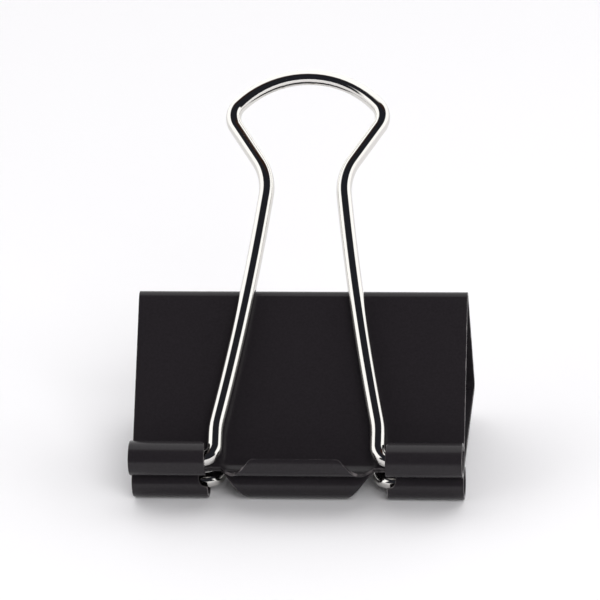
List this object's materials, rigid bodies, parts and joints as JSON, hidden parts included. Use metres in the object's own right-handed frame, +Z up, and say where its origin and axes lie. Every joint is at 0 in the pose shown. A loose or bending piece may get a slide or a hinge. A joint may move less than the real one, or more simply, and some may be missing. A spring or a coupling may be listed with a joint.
{
  "type": "binder clip",
  "caption": "Spring binder clip: folded black steel body with rolled jaw tubes, and two bent wire handles that swing in them.",
  "frame": {"origin": "middle of the overall box on the surface that the clip lies on", "axes": "+X along the jaws, +Y from the jaw tubes towards the end of the rear handle, +Z up; the clip lies on its rear side, on the rear tubes and the end of the rear handle"},
  "size_m": [0.051, 0.0676, 0.0534],
  "materials": {
    "black_painted_steel": "gloss black paint on spring steel",
    "nickel_wire": "bright nickel plating"
  },
  "bodies": {
    "spine": {"spine": "black_painted_steel"},
    "front_jaw": {"front_jaw": "black_painted_steel"},
    "rear_jaw": {"rear_jaw": "black_painted_steel"},
    "front_handle": {"front_handle": "nickel_wire"},
    "rear_handle": {"rear_handle": "nickel_wire"}
  },
  "joints": [
    {"name": "front_jaw_open", "type": "hinge", "parent": "spine", "child": "front_jaw", "pos_m": [0, -0.01129, 0.02471], "axis": [-1, 0, 0], "range_deg": [0, 28], "stiffness_Nm_per_rad": 0.06, "springref_deg": -20.05},
    {"name": "rear_jaw_open", "type": "hinge", "parent": "spine", "child": "rear_jaw", "pos_m": [0, -0.00296, 0.00554], "axis": [1, 0, 0], "range_deg": [0, 28], "stiffness_Nm_per_rad": 0.06, "springref_deg": -20.05},
    {"name": "front_handle_swing", "type": "hinge", "parent": "front_jaw", "child": "front_handle", "pos_m": [0, -0.03114, 0.00766], "axis": [1, 0, 0], "range_deg": [0, 157]},
    {"name": "rear_handle_swing", "type": "hinge", "parent": "rear_jaw", "child": "rear_handle", "pos_m": [0, -0.02897, 0.00267], "axis": [-1, 0, 0], "range_deg": [-2, 155]}
  ],
  "couplings": [
    {"joint": "rear_jaw_open", "follows": "front_jaw_open", "ratio": 1}
  ]
}
